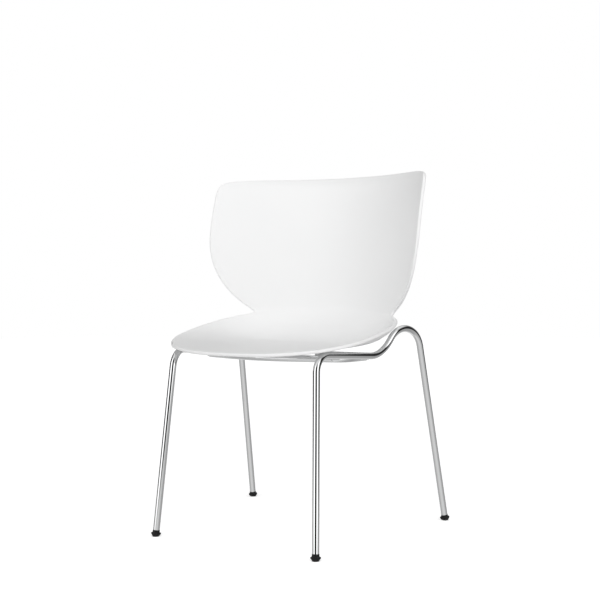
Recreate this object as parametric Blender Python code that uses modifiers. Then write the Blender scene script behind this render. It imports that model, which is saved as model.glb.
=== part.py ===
"""Stacking chair: a one-piece moulded shell on a welded frame of bent steel tube.

Metres, +Z up. The sitter faces -Y, and the origin is on the floor under the middle of the chair.
The shell is a dished seat pan and a curved back that meet at a narrow waist. Each side frame is
one bent tube: front leg, rail under the seat, loop beside the waist and rear leg. A U-shaped brace
joins the rails. Two plates and a strap on the rails carry the shell, on screws that end in
threaded inserts.
"""

import math

import bmesh
import bpy
from mathutils import Quaternion, Vector

SIDES = (("left", -1), ("right", 1))
PLACE_Y = -0.0029  # moves the model, so that the origin is under the middle of its box

# Shell
SHELL_THICKNESS = 0.008
RIM_ROUNDING = 0.0025
SEAT_HALF_WIDTH = 0.262
SEAT_HALF_LENGTH = 0.230
SEAT_MIDDLE_Y = -0.035
SEAT_FRONT_Y = SEAT_MIDDLE_Y - SEAT_HALF_LENGTH
SEAT_FRONT_Z = 0.430
SEAT_FLOOR_Z = 0.4385
SEAT_RIM_SLOPE = 0.195
SEAT_CORNER_ANGLE = math.radians(-45)
SEAT_WAIST_ANGLE = math.radians(48)
SEAT_FLAT_SHARE = 0.62
SEAT_BOW_POWERS = (2.7, 2.2)  # at the front edge and at the waist
SEAT_BULGE_POWER = 2.5
FRONT_DROP_END_Y = -0.150
SWEEP_START_Y = 0.060
SWEEP_ANGLE = math.radians(72)
OUTLINE_POWER = 2.5
CREASE_Y = 0.198
CREASE_Z = 0.520
BACK_HALF_WIDTH = 0.300
BACK_MIDDLE_Z = 0.740
BACK_DROP = 0.272
BACK_TOP_Z = 0.859
BACK_TOP_POWER = 12
BACK_BOW_LATENESS = 4  # keeps the rows bowed like the waist until near the top
BACK_WAIST_ANGLE = math.radians(-53.2)
BACK_CORNER_ANGLE = math.radians(45)
BACK_LOWER_SHARE = 0.56
BACK_PLAN_RADIUS = 0.400
BACK_LEAN_START_Z = 0.550
BACK_LEAN_RATE = 0.60
TOP_FLARE = 0.010
TOP_FLARE_START_Z = 0.834
SEAT_ROWS = 15
BACK_ROWS = 18
HALF_COLUMNS = 11
COLUMN_CROWDING = 1.4  # narrows the columns towards the rim

# Tube frame
TUBE_RADIUS = 0.008
TUBE_WALL = 0.002
FRONT_FOOT = (0.216, -0.250)
FRONT_LEG_LEAN = (-0.054, 0.099)
REAR_FOOT = (0.287, 0.261)
REAR_LEG_LEAN = (-0.055, -0.223)
RAIL_FRONT_Z = 0.4330
RAIL_REAR = (0.2229, 0.038, 0.4178)
LOOP_CORNER_Z = 0.5502  # where the rising run would meet the rear leg
FRONT_BEND = 0.040
RAIL_BEND = 0.0818
LOOP_BEND = 0.0564
BRACE_Z = 0.4165
BRACE_FRONT_Y = -0.146
BRACE_FRONT_BEND = 0.300
BRACE_CORNER = (0.1931, -0.085)
BRACE_CORNER_BEND = 0.050
BRACE_END = (0.2022, -0.002)
ARC_STEP = math.radians(13)
ARC_CHORD = 0.025
CONTACT_GAP = 0.0003

# Glides, measured along the leg from where its axis meets the floor
GLIDE_TOP = 0.015
GLIDE_PLUG_LENGTH = 0.022
GLIDE_PLUG_RADIUS = TUBE_RADIUS - TUBE_WALL - CONTACT_GAP
GLIDE_COLLAR_RADIUS = 0.0083
GLIDE_DISC_RADIUS = 0.0118
GLIDE_DISC_HEIGHT = 0.0070
GLIDE_DISC_EDGE = 0.0014
GLIDE_FOOT_RADIUS = 0.0078
GLIDE_CUT_DEPTH = 0.004

# Fixings
PLATE_TOP_Z = 0.4282
PLATE_THICKNESS = 0.003
PLATE_LENGTH = 0.030
PLATE_CORNER = 0.003
PLATE_INNER_X = 0.152
PLATE_OUTER_X = 0.1900
STRAP_WIDTH = 0.024
STRAP_HALF_LENGTH = 0.2069
FRONT_FIXING = (0.166, -0.150)
REAR_FIXING = (0.105, -0.020)
BOSS_TOP_Z = 0.4388
BOSS_RADIUS = 0.0095
HOLE_RADIUS = 0.0033
WASHER_RADIUS = 0.0062
WASHER_THICKNESS = 0.0015
SCREW_RADIUS = 0.0027
SCREW_HEAD_RADIUS = 0.0052
SCREW_HEAD_HEIGHT = 0.0033
SCREW_HEAD_SHOULDER = (0.96, 0.45)  # shares of the head's radius and height
SCREW_HEAD_FACE = 0.60
SCREW_LENGTH = 0.0135
SOCKET_RADIUS = 0.0023
SOCKET_DEPTH = 0.0020
INSERT_RADIUS = 0.0045
INSERT_BORE = 0.0030
INSERT_LENGTH = 0.0085

SHARP_ANGLE = math.radians(40)
TURNED_STEPS = 16
GLIDE_STEPS = 20
HEXAGON_SIDES = 6


def clear_scene():
    """Removes every object, so that the file can be run again."""
    for old in list(bpy.data.objects):
        bpy.data.objects.remove(old, do_unlink=True)


def new_collection(name, hidden=False):
    """A collection in the scene, for parts or for cutters."""
    collection = bpy.data.collections.new(name)
    bpy.context.scene.collection.children.link(collection)
    collection.hide_render = hidden
    return collection


def principled(name, color, roughness, metallic=0.0):
    """A plain Principled material."""
    material = bpy.data.materials.new(name)
    material.use_nodes = True
    shader = material.node_tree.nodes["Principled BSDF"]
    shader.inputs["Base Color"].default_value = (*color, 1.0)
    shader.inputs["Roughness"].default_value = roughness
    shader.inputs["Metallic"].default_value = metallic
    return material


def add_object(name, data, collection, material=None):
    """Puts new data in a collection, under the empty that places the chair."""
    thing = bpy.data.objects.new(name, data)
    collection.objects.link(thing)
    thing.parent = chair_origin
    if material:
        data.materials.append(material)
    return thing


def add_bmesh(name, bm, collection, material=None):
    """Makes an object from a bmesh, shaded smooth except at its sharp edges."""
    mesh = bpy.data.meshes.new(name)
    bm.to_mesh(mesh)
    bm.free()
    mesh.shade_smooth()
    mesh.set_sharp_from_angle(angle=SHARP_ANGLE)
    return add_object(name, mesh, collection, material)


def as_cutter(thing):
    """Marks a helper that shapes other objects and isn't a part itself."""
    thing.hide_render = True
    thing.display_type = "WIRE"
    return thing


def add_boolean(thing, other, operation):
    """Joins or cuts a part with a helper mesh."""
    modifier = thing.modifiers.new(other.name, "BOOLEAN")
    modifier.operation = operation
    modifier.object = other


def turned(name, profile, steps, collection, material=None):
    """A solid of revolution about Z, from a profile that runs down its outer side."""
    bm = bmesh.new()
    points = [bm.verts.new((radius, 0, height)) for radius, height in profile]
    for upper, lower in zip(points, points[1:]):
        bm.edges.new((upper, lower))
    if profile[0] != profile[-1] and profile[0][0] > 0:
        bm.edges.new((points[-1], points[0]))
    thing = add_bmesh(name, bm, collection, material)
    screw = thing.modifiers.new("Turn", "SCREW")
    screw.steps = steps
    screw.render_steps = steps
    screw.use_merge_vertices = True
    screw.merge_threshold = 0.00001
    return thing


def fixing_places():
    """The name, x and y of each of the four screws."""
    for end, place in (("front", FRONT_FIXING), ("rear", REAR_FIXING)):
        for side, sign in SIDES:
            yield f"{end}_{side}", sign * place[0], place[1]


def between(start, end, share):
    """The value that lies this share of the way from start to end."""
    return start + (end - start) * share


def superellipse(angle, half_width, half_height, power):
    """The point at this angle on a superellipse round the origin."""
    across = math.cos(angle)
    along = math.sin(angle)
    reach = (abs(across) ** power + abs(along) ** power) ** (-1 / power)
    return half_width * across * reach, half_height * along * reach


def seat_rim(share):
    """The right rim of the seat, from its front corner to the waist. It lies in one sloping plane."""
    angle = between(SEAT_CORNER_ANGLE, SEAT_WAIST_ANGLE, share)
    x, y = superellipse(angle, SEAT_HALF_WIDTH, SEAT_HALF_LENGTH, OUTLINE_POWER)
    y += SEAT_MIDDLE_Y
    return Vector((x, y, SEAT_FRONT_Z + SEAT_RIM_SLOPE * (y - SEAT_FRONT_Y)))


def seat_centre(share):
    """The middle line of the seat: a low front edge, a flat floor and a sweep up to the crease."""
    if share > SEAT_FLAT_SHARE:
        angle = SWEEP_ANGLE * (share - SEAT_FLAT_SHARE) / (1 - SEAT_FLAT_SHARE)
        length = (CREASE_Y - SWEEP_START_Y) / math.sin(SWEEP_ANGLE)
        height = (CREASE_Z - SEAT_FLOOR_Z) / (1 - math.cos(SWEEP_ANGLE))
        y = SWEEP_START_Y + length * math.sin(angle)
        return Vector((0, y, SEAT_FLOOR_Z + height * (1 - math.cos(angle))))
    y = between(SEAT_FRONT_Y, SWEEP_START_Y, share / SEAT_FLAT_SHARE)
    dip = max(0, FRONT_DROP_END_Y - y) / (FRONT_DROP_END_Y - SEAT_FRONT_Y)
    return Vector((0, y, SEAT_FLOOR_Z - (SEAT_FLOOR_Z - SEAT_FRONT_Z) * dip**2))


def seat_point(share, across):
    """A point of the seat. The pan is nearly flat in the middle and turns up steeply at its sides."""
    centre = seat_centre(share)
    rim = seat_rim(share)
    bow_power = between(*SEAT_BOW_POWERS, share)
    rise_power = bow_power + SEAT_BULGE_POWER * math.sin(math.pi * share)
    y = between(centre.y, rim.y, across**bow_power)
    z = between(centre.z, rim.z, across**rise_power)
    return Vector((rim.x * across, y, z))


def back_rim(share):
    """Half-width and height of the back's right rim, from the waist to the top corner."""
    if share < BACK_LOWER_SHARE:
        angle = BACK_WAIST_ANGLE * (1 - share / BACK_LOWER_SHARE)
        x, z = superellipse(angle, BACK_HALF_WIDTH, BACK_DROP, OUTLINE_POWER)
    else:
        angle = BACK_CORNER_ANGLE * (share - BACK_LOWER_SHARE) / (1 - BACK_LOWER_SHARE)
        x, z = superellipse(angle, BACK_HALF_WIDTH, BACK_TOP_Z - BACK_MIDDLE_Z, BACK_TOP_POWER)
    return x, BACK_MIDDLE_Z + z


def back_point(share, across):
    """A point of the back: an arc in plan, leaning back more towards its top edge."""
    half_width, rim_z = back_rim(share)
    waist_z = back_rim(0)[1]
    corner_z = back_rim(1)[1]
    centre_z = between(CREASE_Z, BACK_TOP_Z, (rim_z - waist_z) / (corner_z - waist_z))
    x = half_width * across
    bow_power = between(SEAT_BOW_POWERS[1], BACK_TOP_POWER, share**BACK_BOW_LATENESS)
    z = between(centre_z, rim_z, across**bow_power)
    lean = BACK_LEAN_RATE * max(0, z - BACK_LEAN_START_Z) ** 2
    flare = max(0, z - TOP_FLARE_START_Z) / (BACK_TOP_Z - TOP_FLARE_START_Z)
    wrap = BACK_PLAN_RADIUS - math.sqrt(BACK_PLAN_RADIUS**2 - x**2)
    return Vector((x, CREASE_Y + lean + TOP_FLARE * flare**2 - wrap, z))


def shell_point(across, row):
    """A point of the right half of the shell, from row 0 at the seat's front to the top row."""
    if row < SEAT_ROWS:
        return seat_point(row / SEAT_ROWS, across)
    return back_point((row - SEAT_ROWS) / BACK_ROWS, across)


def make_shell(parts, cutters, material):
    """The moulded shell, with a boss over each plate and a blind hole in it for the insert."""
    bm = bmesh.new()
    rows = SEAT_ROWS + BACK_ROWS
    bmesh.ops.create_grid(bm, x_segments=HALF_COLUMNS, y_segments=rows, size=1)
    for vert in bm.verts:
        across = (vert.co.x + 1) / 2
        row = round((vert.co.y + 1) / 2 * rows)
        vert.co = shell_point(1 - (1 - across) ** COLUMN_CROWDING, row)
    bmesh.ops.recalc_face_normals(bm, faces=bm.faces)
    shell = add_bmesh("seat_shell", bm, parts, material)
    mirror = shell.modifiers.new("Mirror", "MIRROR")
    mirror.use_clip = True
    mirror.merge_threshold = 0.0001
    wall = shell.modifiers.new("Wall", "SOLIDIFY")
    wall.thickness = SHELL_THICKNESS
    wall.offset = 0
    rounding = shell.modifiers.new("Rim", "BEVEL")
    rounding.width = RIM_ROUNDING
    rounding.segments = 2
    rounding.limit_method = "ANGLE"
    rounding.angle_limit = SHARP_ANGLE
    boss_bottom = PLATE_TOP_Z + CONTACT_GAP
    boss_depth = BOSS_TOP_Z - boss_bottom
    hole_bottom = PLATE_TOP_Z - PLATE_THICKNESS
    hole_depth = PLATE_THICKNESS + INSERT_LENGTH + 2 * CONTACT_GAP
    hole_radius = INSERT_RADIUS + CONTACT_GAP
    for name, x, y in fixing_places():
        boss = make_cylinder(f"boss_{name}", BOSS_RADIUS, boss_bottom, boss_depth, cutters)
        boss.location.xy = (x, y)
        add_boolean(shell, boss, "UNION")
    for name, x, y in fixing_places():
        hole = make_cylinder(f"insert_hole_{name}", hole_radius, hole_bottom, hole_depth, cutters)
        hole.location.xy = (x, y)
        add_boolean(shell, hole, "DIFFERENCE")


def make_cylinder(name, radius, bottom, depth, cutters, segments=TURNED_STEPS):
    """A helper cylinder that stands on the given height."""
    bm = bmesh.new()
    bmesh.ops.create_cone(
        bm, cap_ends=True, segments=segments, radius1=radius, radius2=radius, depth=depth
    )
    bmesh.ops.translate(bm, verts=bm.verts, vec=(0, 0, bottom + depth / 2))
    return as_cutter(add_bmesh(name, bm, cutters))


def bent_path(corners, radii):
    """Points along straight runs that are joined by arcs, as a tube bender makes them."""
    points = [corners[0]]
    for before, corner, after, radius in zip(corners, corners[1:], corners[2:], radii):
        back = (before - corner).normalized()
        ahead = (after - corner).normalized()
        turn = math.pi - back.angle(ahead)
        start = corner + back * radius * math.tan(turn / 2)
        centre = corner + (back + ahead).normalized() * radius / math.cos(turn / 2)
        axis = (-back).cross(ahead).normalized()
        steps = math.ceil(max(turn / ARC_STEP, turn * radius / ARC_CHORD))
        for step in range(steps + 1):
            turned_by = Quaternion(axis, turn * step / steps)
            points.append(centre + turned_by @ (start - centre))
    points.append(corners[-1])
    return points


def make_tube(name, points, parts, material):
    """A hollow tube along the points, open at both ends."""
    curve = bpy.data.curves.new(name, "CURVE")
    curve.dimensions = "3D"
    curve.bevel_depth = TUBE_RADIUS
    curve.bevel_resolution = 4
    spline = curve.splines.new("POLY")
    spline.points.add(len(points) - 1)
    for place, point in zip(spline.points, points):
        place.co = (*point, 1)
    spline.use_smooth = True
    tube = add_object(name, curve, parts, material)
    wall = tube.modifiers.new("Wall", "SOLIDIFY")
    wall.thickness = TUBE_WALL
    wall.offset = -1
    wall.use_even_offset = True


def leg_axis(foot, lean, sign):
    """Where a leg's axis meets the floor, and the unit vector up along it."""
    return Vector((sign * foot[0], foot[1], 0)), Vector((sign * lean[0], lean[1], 1)).normalized()


def make_side_frame(side, sign, parts, material):
    """One tube: front leg, rail under the seat, loop beside the waist and rear leg."""
    front_foot, front_up = leg_axis(FRONT_FOOT, FRONT_LEG_LEAN, sign)
    rear_foot, rear_up = leg_axis(REAR_FOOT, REAR_LEG_LEAN, sign)
    tube_end = GLIDE_TOP + CONTACT_GAP
    corners = [
        front_foot + front_up * tube_end,
        front_foot + front_up * RAIL_FRONT_Z / front_up.z,
        Vector((sign * RAIL_REAR[0], RAIL_REAR[1], RAIL_REAR[2])),
        rear_foot + rear_up * LOOP_CORNER_Z / rear_up.z,
        rear_foot + rear_up * tube_end,
    ]
    radii = [FRONT_BEND, RAIL_BEND, LOOP_BEND]
    make_tube(f"side_frame_{side}", bent_path(corners, radii), parts, material)


def make_brace(parts, material):
    """The U-shaped tube that joins the two rails, low under the front of the seat."""
    left_end, left_corner, right_corner, right_end = (
        Vector((sign * x, y, BRACE_Z))
        for sign, (x, y) in ((-1, BRACE_END), (-1, BRACE_CORNER), (1, BRACE_CORNER), (1, BRACE_END))
    )
    front = Vector((0, BRACE_FRONT_Y, BRACE_Z))
    corners = [left_end, left_corner, front, right_corner, right_end]
    radii = [BRACE_CORNER_BEND, BRACE_FRONT_BEND, BRACE_CORNER_BEND]
    make_tube("cross_brace", bent_path(corners, radii), parts, material)


def make_glide(name, foot, up, parts, floor, material):
    """A glide plugged into the foot of a leg, in line with it and cut flat at the floor."""
    edge = GLIDE_DISC_EDGE / 2
    profile = [
        (0, GLIDE_TOP + GLIDE_PLUG_LENGTH),
        (GLIDE_PLUG_RADIUS, GLIDE_TOP + GLIDE_PLUG_LENGTH),
        (GLIDE_PLUG_RADIUS, GLIDE_TOP),
        (GLIDE_COLLAR_RADIUS, GLIDE_TOP),
        (GLIDE_COLLAR_RADIUS, GLIDE_DISC_HEIGHT + 2 * GLIDE_DISC_EDGE),
        (GLIDE_DISC_RADIUS, GLIDE_DISC_HEIGHT + edge),
        (GLIDE_DISC_RADIUS, GLIDE_DISC_HEIGHT - edge),
        (GLIDE_FOOT_RADIUS, 0),
        (GLIDE_FOOT_RADIUS, -GLIDE_CUT_DEPTH),
        (0, -GLIDE_CUT_DEPTH),
    ]
    glide = turned(name, profile, GLIDE_STEPS, parts, material)
    glide.location = foot
    glide.rotation_mode = "QUATERNION"
    glide.rotation_quaternion = up.to_track_quat("Z", "Y")
    add_boolean(glide, floor, "DIFFERENCE")


def make_flat_bar(name, size, place, holes, parts, cutters, material):
    """A flat steel bar with rounded corners, and with a hole for each screw that it carries."""
    bm = bmesh.new()
    bmesh.ops.create_cube(bm, size=1)
    bmesh.ops.scale(bm, verts=bm.verts, vec=(*size, PLATE_THICKNESS))
    upright = [edge for edge in bm.edges if abs(edge.verts[0].co.z - edge.verts[1].co.z) > 0.001]
    bmesh.ops.bevel(bm, geom=upright, offset=PLATE_CORNER, segments=3, profile=0.5, affect="EDGES")
    bar = add_bmesh(name, bm, parts, material)
    bar.location = (*place, PLATE_TOP_Z - PLATE_THICKNESS / 2)
    for x, y in holes:
        bottom = PLATE_TOP_Z - 2 * PLATE_THICKNESS
        side = "left" if x < 0 else "right"
        hole = make_cylinder(f"hole_{name}_{side}", HOLE_RADIUS, bottom, 3 * PLATE_THICKNESS, cutters)
        hole.location.xy = (x, y)
        add_boolean(bar, hole, "DIFFERENCE")


def make_carriers(parts, cutters, material):
    """The two front plates and the rear strap, which are welded to the rails' inner sides."""
    plate_size = (PLATE_OUTER_X - PLATE_INNER_X, PLATE_LENGTH)
    plate_x = (PLATE_OUTER_X + PLATE_INNER_X) / 2
    x, y = FRONT_FIXING
    for side, sign in SIDES:
        name = f"mounting_plate_{side}"
        place = (sign * plate_x, y)
        make_flat_bar(name, plate_size, place, [(sign * x, y)], parts, cutters, material)
    x, y = REAR_FIXING
    strap_size = (2 * STRAP_HALF_LENGTH, STRAP_WIDTH)
    make_flat_bar("rear_strap", strap_size, (0, y), [(-x, y), (x, y)], parts, cutters, material)


def make_washer(name, parts, material):
    """A flat washer under the plate."""
    top = PLATE_TOP_Z - PLATE_THICKNESS - CONTACT_GAP
    bottom = top - WASHER_THICKNESS
    profile = [(HOLE_RADIUS, top), (WASHER_RADIUS, top), (WASHER_RADIUS, bottom), (HOLE_RADIUS, bottom)]
    return turned(name, profile, TURNED_STEPS, parts, material)


def make_screw(name, parts, cutters, material):
    """A button-head screw with a hexagon socket, driven upwards through washer and plate."""
    seat = PLATE_TOP_Z - PLATE_THICKNESS - WASHER_THICKNESS - 2 * CONTACT_GAP
    tip = seat + SCREW_LENGTH
    shoulder_share, depth_share = SCREW_HEAD_SHOULDER
    profile = [
        (0, tip),
        (SCREW_RADIUS, tip),
        (SCREW_RADIUS, seat),
        (SCREW_HEAD_RADIUS, seat),
        (SCREW_HEAD_RADIUS * shoulder_share, seat - SCREW_HEAD_HEIGHT * depth_share),
        (SCREW_HEAD_RADIUS * SCREW_HEAD_FACE, seat - SCREW_HEAD_HEIGHT),
        (0, seat - SCREW_HEAD_HEIGHT),
    ]
    screw = turned(name, profile, TURNED_STEPS, parts, material)
    bottom = seat - SCREW_HEAD_HEIGHT - SOCKET_DEPTH
    depth = 2 * SOCKET_DEPTH
    socket = make_cylinder(f"socket_of_{name}", SOCKET_RADIUS, bottom, depth, cutters, HEXAGON_SIDES)
    add_boolean(screw, socket, "DIFFERENCE")
    return screw, socket


def make_insert(name, parts, material):
    """A threaded insert, flush with the foot of its boss."""
    bottom = PLATE_TOP_Z + CONTACT_GAP
    top = bottom + INSERT_LENGTH
    profile = [(INSERT_BORE, top), (INSERT_RADIUS, top), (INSERT_RADIUS, bottom), (INSERT_BORE, bottom)]
    return turned(name, profile, TURNED_STEPS, parts, material)


def make_floor_cutter(cutters):
    """A slab below the floor, which cuts the glides flat."""
    bm = bmesh.new()
    bmesh.ops.create_cube(bm, size=1)
    bmesh.ops.translate(bm, verts=bm.verts, vec=(0, 0, -0.5))
    return as_cutter(add_bmesh("floor_cutter", bm, cutters))


clear_scene()
chair = new_collection("stacking_chair")
helpers = new_collection("cutters", hidden=True)
chair_origin = bpy.data.objects.new("chair_origin", None)
chair.objects.link(chair_origin)
chair_origin.location = (0, PLACE_Y, 0)

white_plastic = principled("white_plastic", (0.84, 0.84, 0.84), 0.42)
chrome = principled("chrome", (0.78, 0.78, 0.79), 0.08, 1.0)
black_plastic = principled("black_plastic", (0.015, 0.015, 0.016), 0.45)
zinc = principled("zinc_plated_steel", (0.60, 0.61, 0.62), 0.30, 1.0)
brass = principled("brass", (0.78, 0.62, 0.32), 0.30, 1.0)

make_shell(chair, helpers, white_plastic)
make_brace(chair, chrome)
make_carriers(chair, helpers, chrome)
floor_slab = make_floor_cutter(helpers)
for side, sign in SIDES:
    make_side_frame(side, sign, chair, chrome)
    for end, foot, lean in (("front", FRONT_FOOT, FRONT_LEG_LEAN), ("rear", REAR_FOOT, REAR_LEG_LEAN)):
        make_glide(f"glide_{end}_{side}", *leg_axis(foot, lean, sign), chair, floor_slab, black_plastic)
for name, x, y in fixing_places():
    washer = make_washer(f"washer_{name}", chair, zinc)
    insert = make_insert(f"threaded_insert_{name}", chair, brass)
    screw, socket = make_screw(f"screw_{name}", chair, helpers, zinc)
    for piece in (washer, insert, screw, socket):
        piece.location.xy = (x, y)
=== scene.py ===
"""Stacking chair in a white studio: a white moulded shell on a polished tube frame.

Metres, +Z up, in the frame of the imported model. The sitter faces -Y.
"""

import math

import bmesh
import bpy
from mathutils import Matrix, Vector


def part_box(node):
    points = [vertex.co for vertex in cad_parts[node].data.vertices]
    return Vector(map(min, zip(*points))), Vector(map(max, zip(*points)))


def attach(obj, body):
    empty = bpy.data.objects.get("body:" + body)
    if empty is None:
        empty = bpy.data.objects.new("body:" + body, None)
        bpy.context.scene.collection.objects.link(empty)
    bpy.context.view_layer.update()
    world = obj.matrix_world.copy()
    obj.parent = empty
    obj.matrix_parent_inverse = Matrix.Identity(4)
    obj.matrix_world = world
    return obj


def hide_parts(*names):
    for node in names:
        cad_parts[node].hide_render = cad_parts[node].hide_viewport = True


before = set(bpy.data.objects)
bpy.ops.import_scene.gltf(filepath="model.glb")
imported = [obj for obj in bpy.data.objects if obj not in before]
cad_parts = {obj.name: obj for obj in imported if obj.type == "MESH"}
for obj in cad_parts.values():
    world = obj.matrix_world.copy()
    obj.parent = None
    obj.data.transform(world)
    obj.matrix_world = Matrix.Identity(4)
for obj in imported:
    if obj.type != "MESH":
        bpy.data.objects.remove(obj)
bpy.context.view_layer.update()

SIDES = (("left", -1), ("right", 1))
PLACE_Y = -0.0029  # from the shell's own middle to the middle of the whole chair

# Shell, with the same driving dimensions as the solid that it stands for
SHELL_THICKNESS = 0.008
RIM_ROUNDING = 0.0030
RIM_STEPS = 5
RIM_ANGLE = math.radians(45)
SEAT_HALF_WIDTH = 0.262
SEAT_HALF_LENGTH = 0.230
SEAT_MIDDLE_Y = -0.035
SEAT_FRONT_Y = SEAT_MIDDLE_Y - SEAT_HALF_LENGTH
SEAT_FRONT_Z = 0.430
SEAT_FLOOR_Z = 0.4385
SEAT_RIM_SLOPE = 0.195
SEAT_CORNER_ANGLE = math.radians(-45)
SEAT_WAIST_ANGLE = math.radians(48)
SEAT_FLAT_SHARE = 0.62
SEAT_BOW_POWERS = (2.7, 2.2)
SEAT_BULGE_POWER = 2.5
FRONT_DROP_END_Y = -0.150
SWEEP_START_Y = 0.060
SWEEP_ANGLE = math.radians(72)
OUTLINE_POWER = 2.5
CREASE_Y = 0.198
CREASE_Z = 0.520
BACK_HALF_WIDTH = 0.300
BACK_MIDDLE_Z = 0.740
BACK_DROP = 0.272
BACK_TOP_Z = 0.859
BACK_TOP_POWER = 12
BACK_BOW_LATENESS = 4
BACK_WAIST_ANGLE = math.radians(-53.2)
BACK_CORNER_ANGLE = math.radians(45)
BACK_LOWER_SHARE = 0.56
BACK_PLAN_RADIUS = 0.400
BACK_LEAN_START_Z = 0.550
BACK_LEAN_RATE = 0.60
TOP_FLARE = 0.010
TOP_FLARE_START_Z = 0.834
SEAT_ROWS = 54
BACK_ROWS = 66
HALF_COLUMNS = 44
WAIST_ROWS = 5
WAIST_PASSES = 12
WAIST_EASE = 0.5

# Tube frame
TUBE_RADIUS = 0.008
TUBE_WALL = 0.002
TUBE_SIDES = 40
BEND_STEP = math.radians(4)
LONGEST_FACE = 0.02
RUN_CUTS = 15
FRONT_FOOT = (0.216, -0.250)
FRONT_LEG_LEAN = (-0.054, 0.099)
REAR_FOOT = (0.287, 0.261)
REAR_LEG_LEAN = (-0.055, -0.223)
LEGS = (("front", FRONT_FOOT, FRONT_LEG_LEAN), ("rear", REAR_FOOT, REAR_LEG_LEAN))
RAIL_FRONT_Z = 0.4330
RAIL_REAR = (0.2229, 0.038, 0.4178)
LOOP_CORNER_Z = 0.5502
FRONT_BEND = 0.040
RAIL_BEND = 0.0818
LOOP_BEND = 0.0564
BRACE_Z = 0.4165
BRACE_FRONT_Y = -0.146
BRACE_FRONT_BEND = 0.300
BRACE_CORNER = (0.1931, -0.085)
BRACE_CORNER_BEND = 0.050
BRACE_END = (0.2022, -0.002)

# Glides, measured along the leg from where its axis meets the floor
GLIDE_TOP = 0.015
GLIDE_PLUG_LENGTH = 0.022
GLIDE_PLUG_RADIUS = 0.0057
GLIDE_COLLAR_RADIUS = 0.0083
GLIDE_DISC_RADIUS = 0.0118
GLIDE_DISC_HEIGHT = 0.0070
GLIDE_DISC_EDGE = 0.0014
GLIDE_FOOT_RADIUS = 0.0078
GLIDE_FOOT_HEIGHT = 0.0004
GLIDE_CUT_DEPTH = 0.004
GLIDE_ROUNDING = 0.0008

# Plates, bosses, fixings and welds under the seat
PLATE_EDGE = 0.0005
PLATE_FLAT_ANGLE = math.radians(2)
PLATE_SHARP_ANGLE = math.radians(60)
BOSS_TOP_RADIUS = 0.0125
BOSS_RADIUS = 0.0095
BOSS_SINK = 0.004
BOSS_HOLE_RADIUS = 0.0048
BOSS_FLARE = 0.0008
BOSS_FLARE_SHARE = 0.45
BOSS_TAPER = 0.0004
BOSS_TAPER_SHARE = 0.2
BOSS_ROUNDING = 0.0005
WASHER_BORE = 0.0033
WASHER_ROUNDING = 0.0003
INSERT_BORE = 0.0030
INSERT_BANDS = 6
INSERT_GROOVE_DEPTH = 0.0003
SCREW_SHANK = 0.0027
SCREW_PLAIN_LENGTH = 0.0035
SCREW_PITCH = 0.0010
SCREW_THREAD_DEPTH = 0.0004
SCREW_TIP_CUT = 0.0006
SCREW_TIP_LENGTH = 0.0007
SCREW_HEAD_HEIGHT = 0.0033
SCREW_FACE_SHARE = 0.6
SCREW_DOME_DEGREES = 15
SOCKET_REACH = 0.0023
SOCKET_RIM_SHARE = 1.12
SOCKET_DEPTH = 0.002
WELD_RADIUS = 0.0022
WELD_RIPPLE = 0.92
WELD_DROP = 0.0052
WELD_INSET = 0.005
BRACE_WELD = (-0.030, -0.004)

# How finely the pieces are made
SHARP_ANGLE = math.radians(38)
TURNED_STEPS = 48
INSERT_STEPS = 40
SCREW_STEPS = 36
LARGEST_CUT_SHARE = 0.45
MERGE_DISTANCE = 0.00001
FINE_MERGE_DISTANCE = 0.000001

# Camera and studio
CAMERA_PLACE = (1.386, -2.224 + PLACE_Y, 0.593)
CAMERA_PITCH = math.radians(-1.0)
CAMERA_AZIMUTH = math.radians(31.48)
CAMERA_LENS = 65.29
CAMERA_SENSOR_WIDTH = 36
FLOOR_RADIUS = 9.0


# ---------------------------------------------------------------- node trees


class Wire:
    """A socket of a node tree. Arithmetic on it adds Math nodes."""

    def __init__(self, tree, socket):
        self.tree = tree
        self.socket = socket

    def __getitem__(self, output):
        """Another output of the same node."""
        return Wire(self.tree, self.socket.node.outputs[output])

    def maths(self, operation, *values):
        return self.tree.node("ShaderNodeMath", {"operation": operation}, dict(enumerate(values)))

    def __add__(self, other):
        return self.maths("ADD", self, other)

    def __sub__(self, other):
        return self.maths("SUBTRACT", self, other)

    def __rsub__(self, other):
        return self.maths("SUBTRACT", other, self)

    def __mul__(self, other):
        return self.maths("MULTIPLY", self, other)

    def __truediv__(self, other):
        return self.maths("DIVIDE", self, other)

    __radd__ = __add__
    __rmul__ = __mul__

    def rises(self, low, high):
        """0 below low, 1 above high, and smooth between them."""
        settings = {"interpolation_type": "SMOOTHSTEP", "clamp": True}
        inputs = {"Value": self, "From Min": low, "From Max": high}
        return self.tree.node("ShaderNodeMapRange", settings, inputs)


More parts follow.
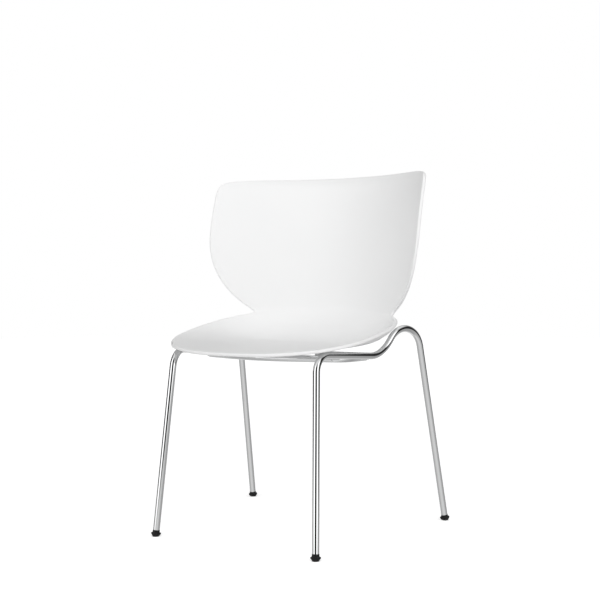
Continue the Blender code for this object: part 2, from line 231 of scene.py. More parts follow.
class Tree:
    """A node tree of a material or the world, emptied and ready to be filled."""

    def __init__(self, owner):
        owner.use_nodes = True
        self.nodes = owner.node_tree.nodes
        self.links = owner.node_tree.links
        self.nodes.clear()

    def node(self, kind, settings=None, inputs=None, stops=None):
        """A node with its settings made first, then its ramp's stops, then its sockets."""
        node = self.nodes.new(kind)
        for name, value in (settings or {}).items():
            setattr(node, name, value)
        if stops:
            ramp = node.color_ramp.elements
            while len(ramp) < len(stops):
                ramp.new(1)
            for stop, (place, level) in zip(ramp, stops):
                stop.position = place
                stop.color = (level, level, level, 1)
        for name, value in (inputs or {}).items():
            socket = node.inputs[name]
            if isinstance(value, Wire):
                self.links.new(value.socket, socket)
            else:
                socket.default_value = value
        return Wire(self, node.outputs[0]) if node.outputs else node

    def place(self):
        """The point on the surface, in the object's own coordinates."""
        return self.node("ShaderNodeTexCoord")["Object"]

    def height(self):
        """The height of the point on the surface above the floor."""
        return self.node("ShaderNodeSeparateXYZ", None, {0: self.place()})["Z"]

    def noise(self, scale, detail=2.0, roughness=0.5, stretch=(1, 1, 1), distortion=0.0):
        """Noise from 0 to 1, with scale in waves per metre."""
        place = self.node("ShaderNodeMapping", None, {"Vector": self.place(), "Scale": stretch})
        inputs = {
            "Vector": place,
            "Scale": scale,
            "Detail": detail,
            "Roughness": roughness,
            "Distortion": distortion,
        }
        return self.node("ShaderNodeTexNoise", None, inputs)

    def tint(self, share, low, high):
        """A colour between low and high."""
        low, high = (end if isinstance(end, Wire) else (*end, 1) for end in (low, high))
        return self.node("ShaderNodeMix", {"data_type": "RGBA"}, {0: share, 6: low, 7: high})[2]

    def bump(self, height, distance, strength=1.0, normal=None):
        """A normal that follows the height, which is in units of distance."""
        inputs = {"Height": height, "Distance": distance, "Strength": strength}
        if normal:
            inputs["Normal"] = normal
        return self.node("ShaderNodeBump", None, inputs)

    def finish(self, shader):
        """Ends the tree in its output."""
        self.node("ShaderNodeOutputMaterial", None, {"Surface": shader})

    def surface(self, inputs):
        """Ends the tree in a Principled shader with these inputs."""
        self.finish(self.node("ShaderNodeBsdfPrincipled", None, inputs))


def white_shell_plastic():
    """Through-coloured polypropylene, with a fine moulded grain and a satin sheen."""
    material = bpy.data.materials.new("white_shell_plastic")
    tree = Tree(material)
    flow = tree.noise(5.0, detail=3.0, distortion=0.6)
    grain = tree.noise(1500.0, detail=3.0, roughness=0.6)
    hairlines = tree.noise(260.0, detail=2.0, stretch=(1, 0.06, 0.06))
    polish = tree.noise(22.0, detail=4.0, roughness=0.65)
    color = tree.tint(flow, (0.815, 0.817, 0.818), (0.835, 0.836, 0.835))
    roughness = 0.36 + 0.10 * polish + 0.06 * grain
    height = grain + 0.25 * hairlines.rises(0.62, 0.75)
    tree.surface(
        {
            "Base Color": color,
            "Roughness": roughness,
            "IOR": 1.49,
            "Specular IOR Level": 0.45,
            "Normal": tree.bump(height, 0.00004, 0.55),
        }
    )
    return material


def chrome(name, ripple):
    """Polished chrome plating over steel, with a faint haze and the ripple of drawn tube."""
    material = bpy.data.materials.new(name)
    tree = Tree(material)
    haze = tree.noise(35.0, detail=4.0, roughness=0.6)
    polishing = tree.noise(900.0, detail=2.0, stretch=(1, 1, 0.05))
    waves = tree.noise(45.0, detail=1.0, stretch=(1, 1, 0.35))
    near_floor = 1 - tree.height().rises(0.015, 0.07)
    scuffs = near_floor * tree.noise(420.0, detail=3.0, roughness=0.7).rises(0.5, 0.7)
    color = tree.tint(haze, (0.79, 0.795, 0.80), (0.84, 0.845, 0.85))
    roughness = 0.02 + 0.035 * haze.rises(0.45, 0.85) + 0.015 * polishing + 0.14 * scuffs
    normal = tree.bump(waves, ripple)
    normal = tree.bump(polishing, 0.000002, 1.0, normal)
    tree.surface({"Base Color": color, "Metallic": 1.0, "Roughness": roughness, "Normal": normal})
    return material


def black_glide_plastic():
    """Black moulded nylon, scuffed grey at the sole."""
    material = bpy.data.materials.new("black_glide_plastic")
    tree = Tree(material)
    height = tree.height()
    grain = tree.noise(2400.0, detail=3.0, roughness=0.6)
    scratches = tree.noise(900.0, detail=3.0, stretch=(1, 1, 0.15))
    scuffed = (1 - height.rises(0.0005, 0.0055)) * scratches.rises(0.48, 0.68)
    color = tree.tint(scuffed, (0.003, 0.003, 0.0035), (0.035, 0.034, 0.033))
    tree.surface(
        {
            "Base Color": color,
            "Roughness": 0.26 + 0.12 * grain + 0.2 * scuffed,
            "Specular IOR Level": 0.3,
            "Normal": tree.bump(grain, 0.00005, 0.6),
        }
    )
    return material


def zinc_plating():
    """Bright zinc on steel fixings, slightly mottled."""
    material = bpy.data.materials.new("zinc_plating")
    tree = Tree(material)
    mottle = tree.noise(500.0, detail=4.0, roughness=0.7)
    turning = tree.noise(300.0, detail=2.0, stretch=(1, 1, 12))
    color = tree.tint(mottle, (0.52, 0.53, 0.55), (0.68, 0.68, 0.67))
    tree.surface(
        {
            "Base Color": color,
            "Metallic": 1.0,
            "Roughness": 0.24 + 0.18 * mottle,
            "Normal": tree.bump(turning, 0.00002),
        }
    )
    return material


def turned_brass():
    """Brass with fine turning marks and a little tarnish."""
    material = bpy.data.materials.new("turned_brass")
    tree = Tree(material)
    tarnish = tree.noise(380.0, detail=4.0, roughness=0.6)
    turning = tree.noise(700.0, detail=2.0, stretch=(1, 1, 8))
    color = tree.tint(tarnish, (0.62, 0.44, 0.19), (0.80, 0.63, 0.33))
    tree.surface(
        {
            "Base Color": color,
            "Metallic": 1.0,
            "Roughness": 0.22 + 0.2 * tarnish,
            "Normal": tree.bump(turning, 0.00002),
        }
    )
    return material


# ---------------------------------------------------------------- making pieces


def add_object(name, bm, material):
    """Makes an object of one material from a bmesh."""
    mesh = bpy.data.meshes.new(name)
    bm.to_mesh(mesh)
    bm.free()
    mesh.materials.append(material)
    made = bpy.data.objects.new(name, mesh)
    bpy.context.scene.collection.objects.link(made)
    return made


def add_piece(name, bm, material, stands_for=()):
    """Makes a piece from a bmesh, smooth but for its sharp edges, and lets it ride on the chair."""
    for face in bm.faces:
        face.smooth = True
    for edge in bm.edges:
        if edge.is_manifold:
            edge.smooth = edge.calc_face_angle() < SHARP_ANGLE
    piece = add_object(name, bm, material)
    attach(piece, "root")
    if stands_for:
        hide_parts(*stands_for)
    return piece


def shift_into_place(bm):
    """Moves a shape from the shell's own middle to the middle of the chair."""
    bmesh.ops.translate(bm, verts=bm.verts, vec=(0, PLACE_Y, 0))


def between(start, end, share):
    """The value that lies this share of the way from start to end."""
    return start + (end - start) * share


def superellipse(angle, half_width, half_height, power):
    """The point at this angle on a superellipse round the origin."""
    across = math.cos(angle)
    along = math.sin(angle)
    reach = (abs(across) ** power + abs(along) ** power) ** (-1 / power)
    return half_width * across * reach, half_height * along * reach


def seat_rim(share):
    """The right rim of the seat, in one sloping plane from its front corner to the waist."""
    angle = between(SEAT_CORNER_ANGLE, SEAT_WAIST_ANGLE, share)
    x, y = superellipse(angle, SEAT_HALF_WIDTH, SEAT_HALF_LENGTH, OUTLINE_POWER)
    y += SEAT_MIDDLE_Y
    return Vector((x, y, SEAT_FRONT_Z + SEAT_RIM_SLOPE * (y - SEAT_FRONT_Y)))


def seat_centre(share):
    """The middle line of the seat: a low front edge, a flat floor and a sweep up to the crease."""
    if share > SEAT_FLAT_SHARE:
        angle = SWEEP_ANGLE * (share - SEAT_FLAT_SHARE) / (1 - SEAT_FLAT_SHARE)
        length = (CREASE_Y - SWEEP_START_Y) / math.sin(SWEEP_ANGLE)
        height = (CREASE_Z - SEAT_FLOOR_Z) / (1 - math.cos(SWEEP_ANGLE))
        y = SWEEP_START_Y + length * math.sin(angle)
        return Vector((0, y, SEAT_FLOOR_Z + height * (1 - math.cos(angle))))
    y = between(SEAT_FRONT_Y, SWEEP_START_Y, share / SEAT_FLAT_SHARE)
    dip = max(0, FRONT_DROP_END_Y - y) / (FRONT_DROP_END_Y - SEAT_FRONT_Y)
    return Vector((0, y, SEAT_FLOOR_Z - (SEAT_FLOOR_Z - SEAT_FRONT_Z) * dip**2))


def seat_point(share, across):
    """A point of the seat. The pan is nearly flat in the middle and turns up steeply at its sides."""
    centre = seat_centre(share)
    rim = seat_rim(share)
    bow_power = between(*SEAT_BOW_POWERS, share)
    rise_power = bow_power + SEAT_BULGE_POWER * math.sin(math.pi * share)
    y = between(centre.y, rim.y, across**bow_power)
    z = between(centre.z, rim.z, across**rise_power)
    return Vector((rim.x * across, y, z))


def back_rim(share):
    """Half-width and height of the back's right rim, from the waist to the top corner."""
    if share < BACK_LOWER_SHARE:
        angle = BACK_WAIST_ANGLE * (1 - share / BACK_LOWER_SHARE)
        x, z = superellipse(angle, BACK_HALF_WIDTH, BACK_DROP, OUTLINE_POWER)
    else:
        angle = BACK_CORNER_ANGLE * (share - BACK_LOWER_SHARE) / (1 - BACK_LOWER_SHARE)
        x, z = superellipse(angle, BACK_HALF_WIDTH, BACK_TOP_Z - BACK_MIDDLE_Z, BACK_TOP_POWER)
    return x, BACK_MIDDLE_Z + z


def back_point(share, across):
    """A point of the back: an arc in plan, leaning back more towards its top edge."""
    half_width, rim_z = back_rim(share)
    waist_z = back_rim(0)[1]
    corner_z = back_rim(1)[1]
    centre_z = between(CREASE_Z, BACK_TOP_Z, (rim_z - waist_z) / (corner_z - waist_z))
    x = half_width * across
    bow_power = between(SEAT_BOW_POWERS[1], BACK_TOP_POWER, share**BACK_BOW_LATENESS)
    z = between(centre_z, rim_z, across**bow_power)
    lean = BACK_LEAN_RATE * max(0, z - BACK_LEAN_START_Z) ** 2
    flare = max(0, z - TOP_FLARE_START_Z) / (BACK_TOP_Z - TOP_FLARE_START_Z)
    wrap = BACK_PLAN_RADIUS - math.sqrt(BACK_PLAN_RADIUS**2 - x**2)
    return Vector((x, CREASE_Y + lean + TOP_FLARE * flare**2 - wrap, z))


def shell_point(across, row):
    """A point of the right half of the shell, from row 0 at the seat's front to the top row."""
    if row < SEAT_ROWS:
        return seat_point(row / SEAT_ROWS, across)
    return back_point((row - SEAT_ROWS) / BACK_ROWS, across)


def ease_waist(bm, waist):
    """Rounds the notches in the rim and the crease between seat and back."""
    rim = [vert for vert in waist if vert.is_boundary]
    inner = [vert for vert in waist if not vert.is_boundary]
    for _ in range(WAIST_PASSES):
        along = {}
        for vert in rim:
            ends = [edge.other_vert(vert).co for edge in vert.link_edges if edge.is_boundary]
            along[vert] = vert.co.lerp((ends[0] + ends[1]) / 2, WAIST_EASE)
        for vert, place in along.items():
            vert.co = place
        bmesh.ops.smooth_vert(
            bm, verts=inner, factor=WAIST_EASE, use_axis_x=True, use_axis_y=True, use_axis_z=True
        )


def make_shell(material):
    """The moulded shell, with a full wall and a rounded rim."""
    bm = bmesh.new()
    rows = SEAT_ROWS + BACK_ROWS
    bmesh.ops.create_grid(bm, x_segments=HALF_COLUMNS, y_segments=rows, size=1)
    row_of = bm.verts.layers.int.new("row")
    for vert in bm.verts:
        across = (vert.co.x + 1) / 2
        vert[row_of] = round((vert.co.y + 1) / 2 * rows)
        vert.co = shell_point(across, vert[row_of])
    half = bm.verts[:] + bm.edges[:] + bm.faces[:]
    bmesh.ops.mirror(bm, geom=half, axis="X", merge_dist=MERGE_DISTANCE)
    bmesh.ops.remove_doubles(bm, verts=bm.verts, dist=MERGE_DISTANCE)
    waist = [vert for vert in bm.verts if abs(vert[row_of] - SEAT_ROWS) <= WAIST_ROWS]
    ease_waist(bm, waist)
    shift_into_place(bm)
    bmesh.ops.recalc_face_normals(bm, faces=bm.faces)
    shell = add_piece("moulded_shell", bm, material, ["seat_shell"])
    wall = shell.modifiers.new("wall", "SOLIDIFY")
    wall.thickness = SHELL_THICKNESS
    wall.offset = 0
    rim = shell.modifiers.new("rim", "BEVEL")
    rim.width = RIM_ROUNDING
    rim.segments = RIM_STEPS
    rim.limit_method = "ANGLE"
    rim.angle_limit = RIM_ANGLE
    rim.use_clamp_overlap = False


def bent_tube(name, corners, radii, material, stands_for):
    """A tube of straight runs and round bends, from a ring drawn along and spun at each bend."""
    heading = (corners[1] - corners[0]).normalized()
    turn_to = heading.to_track_quat("Z", "Y").to_matrix().to_4x4()
    bm = bmesh.new()
    bmesh.ops.create_circle(
        bm,
        cap_ends=False,
        segments=TUBE_SIDES,
        radius=TUBE_RADIUS,
        matrix=Matrix.Translation(corners[0]) @ turn_to,
    )
    ring = bm.edges[:]
    here = corners[0]
    for before, corner, after, radius in zip(corners, corners[1:], corners[2:], radii):
        back = (before - corner).normalized()
        ahead = (after - corner).normalized()
        turn = math.pi - back.angle(ahead)
        start = corner + back * radius * math.tan(turn / 2)
        centre = corner + (back + ahead).normalized() * radius / math.cos(turn / 2)
        ring = draw_ring(bm, ring, start - here)
        swept = bmesh.ops.spin(
            bm,
            geom=ring,
            cent=centre,
            axis=(-back).cross(ahead).normalized(),
            angle=turn,
            steps=math.ceil(turn / BEND_STEP),
        )
        ring = [part for part in swept["geom_last"] if isinstance(part, bmesh.types.BMEdge)]
        here = corner + ahead * radius * math.tan(turn / 2)
    draw_ring(bm, ring, corners[-1] - here)
    bmesh.ops.remove_doubles(bm, verts=bm.verts, dist=MERGE_DISTANCE)
    long_runs = [edge for edge in bm.edges if edge.calc_length() > LONGEST_FACE]
    bmesh.ops.subdivide_edges(bm, edges=long_runs, cuts=RUN_CUTS, use_grid_fill=True)
    for edge in bm.edges:
        edge.smooth = not edge.is_boundary
    shift_into_place(bm)
    bmesh.ops.recalc_face_normals(bm, faces=bm.faces)
    tube = add_piece(name, bm, material, stands_for)
    wall = tube.modifiers.new("wall", "SOLIDIFY")
    wall.thickness = TUBE_WALL
    wall.offset = -1
    wall.use_even_offset = True


def draw_ring(bm, ring, run):
    """Draws a straight stretch of tube from a ring of edges, and returns the ring at its end."""
    grown = bmesh.ops.extrude_edge_only(bm, edges=ring)["geom"]
    verts = [part for part in grown if isinstance(part, bmesh.types.BMVert)]
    bmesh.ops.translate(bm, verts=verts, vec=run)
    return [part for part in grown if isinstance(part, bmesh.types.BMEdge)]


def leg_axis(foot, lean, sign):
    """Where a leg's axis meets the floor, and the unit vector up along it."""
    return Vector((sign * foot[0], foot[1], 0)), Vector((sign * lean[0], lean[1], 1)).normalized()


def rail_ends(sign):
    """The corners at the front and the rear end of a rail's axis."""
    front_foot, front_up = leg_axis(FRONT_FOOT, FRONT_LEG_LEAN, sign)
    front = front_foot + front_up * RAIL_FRONT_Z / front_up.z
    return front, Vector((sign * RAIL_REAR[0], RAIL_REAR[1], RAIL_REAR[2]))


def make_side_frame(side, sign, material):
    """One tube: front leg, rail under the seat, loop beside the waist and rear leg."""
    front_foot, front_up = leg_axis(FRONT_FOOT, FRONT_LEG_LEAN, sign)
    rear_foot, rear_up = leg_axis(REAR_FOOT, REAR_LEG_LEAN, sign)
    corners = [
        front_foot + front_up * GLIDE_TOP,
        *rail_ends(sign),
        rear_foot + rear_up * LOOP_CORNER_Z / rear_up.z,
        rear_foot + rear_up * GLIDE_TOP,
    ]
    radii = [FRONT_BEND, RAIL_BEND, LOOP_BEND]
    bent_tube(f"leg_and_rail_tube_{side}", corners, radii, material, [f"side_frame_{side}"])


def make_brace(material):
    """The U-shaped tube that joins the two rails."""
    sides = ((-1, BRACE_END), (-1, BRACE_CORNER), (1, BRACE_CORNER), (1, BRACE_END))
    corners = [Vector((sign * x, y, BRACE_Z)) for sign, (x, y) in sides]
    corners.insert(2, Vector((0, BRACE_FRONT_Y, BRACE_Z)))
    radii = [BRACE_CORNER_BEND, BRACE_FRONT_BEND, BRACE_CORNER_BEND]
    bent_tube("brace_tube", corners, radii, material, ["cross_brace"])


def turned_mesh(profile, steps):
    """A turned shape about Z, from a profile of (radius, height) points."""
    bm = bmesh.new()
    points = [bm.verts.new((radius, 0, height)) for radius, height in profile]
    for start, end in zip(points, points[1:]):
        bm.edges.new((start, end))
    bmesh.ops.spin(
        bm,
        geom=bm.verts[:] + bm.edges[:],
        cent=(0, 0, 0),
        axis=(0, 0, 1),
        angle=math.tau,
        steps=steps,
        use_merge=True,
    )
    bmesh.ops.remove_doubles(bm, verts=bm.verts, dist=FINE_MERGE_DISTANCE)
    bmesh.ops.recalc_face_normals(bm, faces=bm.faces)
    return bm


def rounded(profile, radius, steps=4):
    """The profile with each inner corner replaced by a short arc of about this radius."""
    points = [profile[0]]
    for before, corner, after in zip(profile, profile[1:], profile[2:]):
        corner = Vector(corner)
        back = Vector(before) - corner
        ahead = Vector(after) - corner
        cut = min(radius, back.length * LARGEST_CUT_SHARE, ahead.length * LARGEST_CUT_SHARE)
        start = corner + back.normalized() * cut
        end = corner + ahead.normalized() * cut
        for step in range(steps + 1):
            share = step / steps
            points.append(start.lerp(corner, share).lerp(corner.lerp(end, share), share)[:])
    points.append(profile[-1])
    return points


def make_glide(name, foot, up, material):
    """A glide plugged into the foot of a leg, in line with it and cut flat at the floor."""
    edge = GLIDE_DISC_EDGE / 2
    profile = [
        (0, GLIDE_TOP + GLIDE_PLUG_LENGTH),
        (GLIDE_PLUG_RADIUS, GLIDE_TOP + GLIDE_PLUG_LENGTH),
        (GLIDE_PLUG_RADIUS, GLIDE_TOP),
        (GLIDE_COLLAR_RADIUS, GLIDE_TOP),
        (GLIDE_COLLAR_RADIUS, GLIDE_DISC_HEIGHT + 2 * GLIDE_DISC_EDGE),
        (GLIDE_DISC_RADIUS, GLIDE_DISC_HEIGHT + edge),
        (GLIDE_DISC_RADIUS, GLIDE_DISC_HEIGHT - edge),
        (GLIDE_FOOT_RADIUS, GLIDE_FOOT_HEIGHT),
        (GLIDE_FOOT_RADIUS, -GLIDE_CUT_DEPTH),
        (0, -GLIDE_CUT_DEPTH),
    ]
    bm = turned_mesh(rounded(profile, GLIDE_ROUNDING), TURNED_STEPS)
    turn = up.to_track_quat("Z", "Y").to_matrix().to_4x4()
    bmesh.ops.transform(bm, verts=bm.verts, matrix=Matrix.Translation(foot) @ turn)
    everything = bm.verts[:] + bm.edges[:] + bm.faces[:]
    cut = bmesh.ops.bisect_plane(
        bm, geom=everything, plane_co=(0, 0, 0), plane_no=(0, 0, -1), clear_outer=True
    )
    sole = [part for part in cut["geom_cut"] if isinstance(part, bmesh.types.BMEdge)]
    bmesh.ops.contextual_create(bm, geom=sole)
    shift_into_place(bm)
    bmesh.ops.recalc_face_normals(bm, faces=bm.faces)
    add_piece(f"foot_{name}", bm, material, [name])


def eased_plate(name, material):
    """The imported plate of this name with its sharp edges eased."""
    bm = bmesh.new()
    bm.from_mesh(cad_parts[name].data)
    bmesh.ops.remove_doubles(bm, verts=bm.verts, dist=MERGE_DISTANCE)
    bmesh.ops.dissolve_limit(bm, angle_limit=PLATE_FLAT_ANGLE, verts=bm.verts, edges=bm.edges)
    closed = [edge for edge in bm.edges if edge.is_manifold]
    sharp = [edge for edge in closed if edge.calc_face_angle() > PLATE_SHARP_ANGLE]
    bmesh.ops.bevel(
        bm, geom=sharp, offset=PLATE_EDGE, segments=2, profile=0.5, affect="EDGES", material=-1
    )
    add_piece(f"welded_{name}", bm, material, [name])


def turned_size(node):
    """Outer radius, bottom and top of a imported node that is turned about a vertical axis."""
    low, high = (Vector(corner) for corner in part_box(node))
    return (high.x - low.x) / 2, low.z, high.z


def stand_at(bm, node):
    """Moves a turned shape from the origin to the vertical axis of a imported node."""
    low, high = (Vector(corner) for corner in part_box(node))
    centre = (low + high) / 2
    bmesh.ops.translate(bm, verts=bm.verts, vec=(centre.x, centre.y, 0))


def make_washer(place_name, material):
    """A flat washer with eased edges."""
    node = f"washer_{place_name}"
    outer, bottom, top = turned_size(node)
    profile = [
        (WASHER_BORE, (bottom + top) / 2),
        (WASHER_BORE, top),
        (outer, top),
        (outer, bottom),
        (WASHER_BORE, bottom),
        (WASHER_BORE, (bottom + top) / 2),
    ]
    bm = turned_mesh(rounded(profile, WASHER_ROUNDING, 3), TURNED_STEPS)
    stand_at(bm, node)
    add_piece(f"plated_{node}", bm, material, [node])


def make_insert(place_name, material):
    """A brass insert with shallow grooves round its outside."""
    node = f"threaded_insert_{place_name}"
    outer, bottom, top = turned_size(node)
    profile = [(INSERT_BORE, top), (outer, top)]
    band = (top - bottom) / INSERT_BANDS
    for index in range(1, INSERT_BANDS):
        depth = INSERT_GROOVE_DEPTH if index % 2 else 0.0
        profile.append((outer - depth, top - band * index))
    profile += [(outer, bottom), (INSERT_BORE, bottom), (INSERT_BORE, top)]
    bm = turned_mesh(profile, INSERT_STEPS)
    stand_at(bm, node)
    add_piece(f"brass_{node}", bm, material, [node])


def screw_profile(head, bottom, top):
    """A screw from its tip, which points up, to the rim of the socket in its head."""
    seat = bottom + SCREW_HEAD_HEIGHT
    thread_start = seat + SCREW_PLAIN_LENGTH
    thread_end = top - SCREW_TIP_LENGTH
    profile = [(0, top), (SCREW_SHANK - SCREW_TIP_CUT, top), (SCREW_SHANK, thread_end)]
    for index in range(int((thread_end - thread_start) / SCREW_PITCH)):
        crest = thread_end - SCREW_PITCH * index
        profile.append((SCREW_SHANK - SCREW_THREAD_DEPTH, crest - SCREW_PITCH / 2))
        profile.append((SCREW_SHANK, crest - SCREW_PITCH))
    profile += [(SCREW_SHANK, seat), (head, seat)]
    face = head * SCREW_FACE_SHARE
    for degrees in range(90 - SCREW_DOME_DEGREES, 0, -SCREW_DOME_DEGREES):
        angle = math.radians(degrees)
        radius = face + (head - face) * math.sin(angle)
        profile.append((radius, seat - SCREW_HEAD_HEIGHT * math.cos(angle)))
    return profile + [(face, bottom), (SOCKET_REACH * SOCKET_RIM_SHARE, bottom)]


def cut_socket(bm):
    """Sinks a hexagon socket into the open end of a screw's head."""
    rim = [edge for edge in bm.edges if edge.is_boundary]
    grown = bmesh.ops.extrude_edge_only(bm, edges=rim)["geom"]
    flat = SOCKET_REACH * math.cos(math.pi / 6)
    for vert in (part for part in grown if isinstance(part, bmesh.types.BMVert)):
        angle = math.atan2(vert.co.y, vert.co.x)
        reach = flat / math.cos((angle % (math.pi / 3)) - math.pi / 6)
        vert.co.xy = (reach * math.cos(angle), reach * math.sin(angle))
    mouth = [part for part in grown if isinstance(part, bmesh.types.BMEdge)]
    bottom = draw_ring(bm, mouth, (0, 0, SOCKET_DEPTH))
    bmesh.ops.contextual_create(bm, geom=bottom)


def make_screw(place_name, material):
    """A button-head screw with a hexagon socket and a threaded shank."""
    node = f"screw_{place_name}"
    bm = turned_mesh(screw_profile(*turned_size(node)), SCREW_STEPS)
    cut_socket(bm)
    bmesh.ops.remove_doubles(bm, verts=bm.verts, dist=FINE_MERGE_DISTANCE)
    bmesh.ops.recalc_face_normals(bm, faces=bm.faces)
    stand_at(bm, node)
    add_piece(f"plated_{node}", bm, material, [node])


def make_boss(place_name, material):
    """A moulded boss under the pan, which holds an insert and flares into the shell."""
    insert = f"threaded_insert_{place_name}"
    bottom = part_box(insert)[0][2]
    top = SEAT_FLOOR_Z - SHELL_THICKNESS / 2 + BOSS_SINK / 2
    depth = top - bottom
    profile = [
        (BOSS_HOLE_RADIUS, top),
        (BOSS_TOP_RADIUS, top),
        (BOSS_RADIUS + BOSS_FLARE, top - depth * BOSS_FLARE_SHARE),
        (BOSS_RADIUS, bottom + depth * BOSS_TAPER_SHARE),
        (BOSS_RADIUS - BOSS_TAPER, bottom),
        (BOSS_HOLE_RADIUS, bottom),
        (BOSS_HOLE_RADIUS, top),
    ]
    bm = turned_mesh(rounded(profile, BOSS_ROUNDING, 3), TURNED_STEPS)
    stand_at(bm, insert)
    add_piece(f"shell_boss_{place_name}", bm, material)


def make_weld(name, start, end, material):
    """A bead of weld with round ends, rippled along its length."""
    run = end - start
    count = round(run.length / WELD_RADIUS)
    bm = bmesh.new()
    for index in range(count + 1):
        place = start.lerp(end, index / count)
        size = WELD_RADIUS * (WELD_RIPPLE if index % 2 else 1.0)
        bmesh.ops.create_uvsphere(
            bm, u_segments=14, v_segments=8, radius=size, matrix=Matrix.Translation(place)
        )
    add_piece(name, bm, material)


def brace_seam(y, sign):
    """The point under the line where the brace lies along the rail, at this y."""
    rail_start, rail_end = rail_ends(sign)
    rail = rail_start.lerp(rail_end, (y - rail_start.y) / (rail_end.y - rail_start.y))
    share = (y - BRACE_CORNER[1]) / (BRACE_END[1] - BRACE_CORNER[1])
    brace = Vector((sign * between(BRACE_CORNER[0], BRACE_END[0], share), y, BRACE_Z))
    across = (rail - brace).normalized()
    down = Vector((across.z * sign, 0, -abs(across.x)))
    return (rail + brace) / 2 + down * WELD_DROP + Vector((0, PLACE_Y, 0))


def make_welds(material):
    """The weld beads between the rails and the brace, plates and strap."""
    for side, sign in SIDES:
        start, end = (brace_seam(y, sign) for y in BRACE_WELD)
        make_weld(f"weld_brace_{side}", start, end, material)
        for name, node in (("plate", f"mounting_plate_{side}"), ("strap", "rear_strap")):
            low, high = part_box(node)
            x = sign * max(abs(low[0]), abs(high[0]))
            start = Vector((x, low[1] + WELD_INSET, low[2]))
            end = Vector((x, high[1] - WELD_INSET, low[2]))
            make_weld(f"weld_{name}_{side}", start, end, material)


# ---------------------------------------------------------------- studio


def make_floor():
    """A pale floor that is only seen from above."""
    bm = bmesh.new()
    bmesh.ops.create_circle(bm, cap_ends=True, segments=96, radius=FLOOR_RADIUS)
    bmesh.ops.recalc_face_normals(bm, faces=bm.faces)
    material = bpy.data.materials.new("studio_floor_white")
    tree = Tree(material)
    lit = tree.node("ShaderNodeBsdfDiffuse", None, {"Color": (0.90, 0.90, 0.90, 1)})
    glow = tree.node("ShaderNodeEmission", None, {"Color": (1, 1, 1, 1), "Strength": 0.48})
    both = tree.node("ShaderNodeAddShader", None, {0: lit, 1: glow})
    seen = tree.node("ShaderNodeLightPath")["Is Camera Ray"]
    above = tree.node("ShaderNodeMixShader", None, {0: seen, 1: lit, 2: both})
    below = tree.node("ShaderNodeBsdfTransparent")
    behind = tree.node("ShaderNodeNewGeometry")["Backfacing"]
    tree.finish(tree.node("ShaderNodeMixShader", None, {0: behind, 1: above, 2: below}))
    floor = add_object("studio_floor", bm, material)
    floor.visible_glossy = False


def around(degrees):
    """The place on a ramp of a bearing in degrees from the camera, positive to the right."""
    return (degrees + 180) / 360


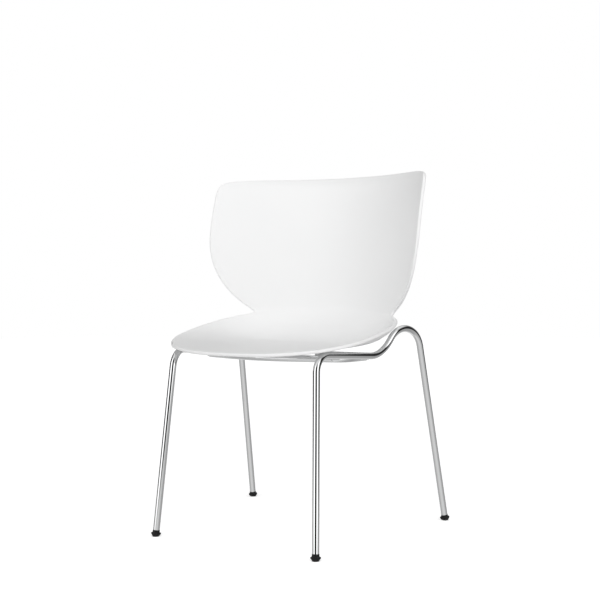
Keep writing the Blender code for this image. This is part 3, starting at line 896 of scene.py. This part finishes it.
def light_world():
    """A white cove, with softboxes on both sides of the camera and black flags between the lights."""
    world = bpy.data.worlds.new("white_cove")
    bpy.context.scene.world = world
    tree = Tree(world)
    heading = tree.node("ShaderNodeTexCoord")["Generated"]
    parts = tree.node("ShaderNodeSeparateXYZ", None, {0: heading})
    x, y, z = parts["X"], parts["Y"], parts["Z"]
    right = x * math.cos(CAMERA_AZIMUTH) + y * math.sin(CAMERA_AZIMUTH)
    near = x * math.sin(CAMERA_AZIMUTH) - y * math.cos(CAMERA_AZIMUTH)
    bearing = right.maths("ARCTAN2", right, near) / math.tau + 0.5
    softboxes = tree.node(
        "ShaderNodeValToRGB",
        None,
        {0: bearing},
        [
            (around(-180), 0.60),
            (around(-150), 0.35),
            (around(-128), 0.06),
            (around(-80), 0.02),
            (around(-71), 1.50),
            (around(-34), 1.50),
            (around(-26), 0.00),
            (around(17), 0.00),
            (around(25), 1.50),
            (around(60), 1.50),
            (around(70), 0.02),
            (around(125), 0.03),
            (around(150), 0.45),
        ],
    )
    cove_floor = tree.node(
        "ShaderNodeValToRGB",
        None,
        {0: bearing},
        [
            (around(-180), 0.85),
            (around(-135), 0.58),
            (around(-100), 0.42),
            (around(-62), 0.60),
            (around(-20), 0.74),
            (around(25), 0.74),
            (around(60), 0.50),
            (around(95), 0.36),
            (around(130), 0.42),
            (around(165), 0.70),
        ],
    )
    ceiling = tree.tint(z.rises(0.55, 0.85), softboxes, (0.8, 0.8, 0.8))
    mirrored = tree.tint(z.rises(-0.12, -0.03), cove_floor, ceiling)
    # Matt surfaces are lit most from the camera's side and from below, as off a white floor.
    soft = 0.90 + 0.76 * near + 0.44 * near * near + 0.03 * right - 0.44 * z
    soft_color = tree.node("ShaderNodeCombineXYZ", None, {0: soft, 1: soft, 2: soft})
    rays = tree.node("ShaderNodeLightPath")
    lighting = tree.tint(rays["Is Glossy Ray"], soft_color, mirrored)
    seen = tree.tint(rays["Is Camera Ray"], lighting, (1.0, 1.0, 1.0))
    background = tree.node("ShaderNodeBackground", None, {"Color": seen, "Strength": 1.0})
    tree.node("ShaderNodeOutputWorld", None, {"Surface": background})


def make_camera():
    """The camera at the right front corner, a little above the seat."""
    data = bpy.data.cameras.new("camera")
    data.lens = CAMERA_LENS
    data.sensor_width = CAMERA_SENSOR_WIDTH
    camera = bpy.data.objects.new("camera", data)
    camera.location = CAMERA_PLACE
    camera.rotation_euler = (math.pi / 2 + CAMERA_PITCH, 0, CAMERA_AZIMUTH)
    bpy.context.scene.collection.objects.link(camera)
    bpy.context.scene.camera = camera


# ---------------------------------------------------------------- the chair

make_camera()
light_world()
make_floor()
bpy.context.scene.view_settings.view_transform = "Standard"

shell_plastic = white_shell_plastic()
tube_chrome = chrome("polished_tube_chrome", 0.00006)
plate_chrome = chrome("polished_plate_chrome", 0.00003)
glide_plastic = black_glide_plastic()
zinc = zinc_plating()
brass = turned_brass()

make_shell(shell_plastic)
make_brace(tube_chrome)
for plate in ("mounting_plate_left", "mounting_plate_right", "rear_strap"):
    eased_plate(plate, plate_chrome)
for side, sign in SIDES:
    make_side_frame(side, sign, tube_chrome)
    for end, foot, lean in LEGS:
        make_glide(f"glide_{end}_{side}", *leg_axis(foot, lean, sign), glide_plastic)
        make_boss(f"{end}_{side}", shell_plastic)
        make_washer(f"{end}_{side}", zinc)
        make_insert(f"{end}_{side}", brass)
        make_screw(f"{end}_{side}", zinc)
make_welds(tube_chrome)
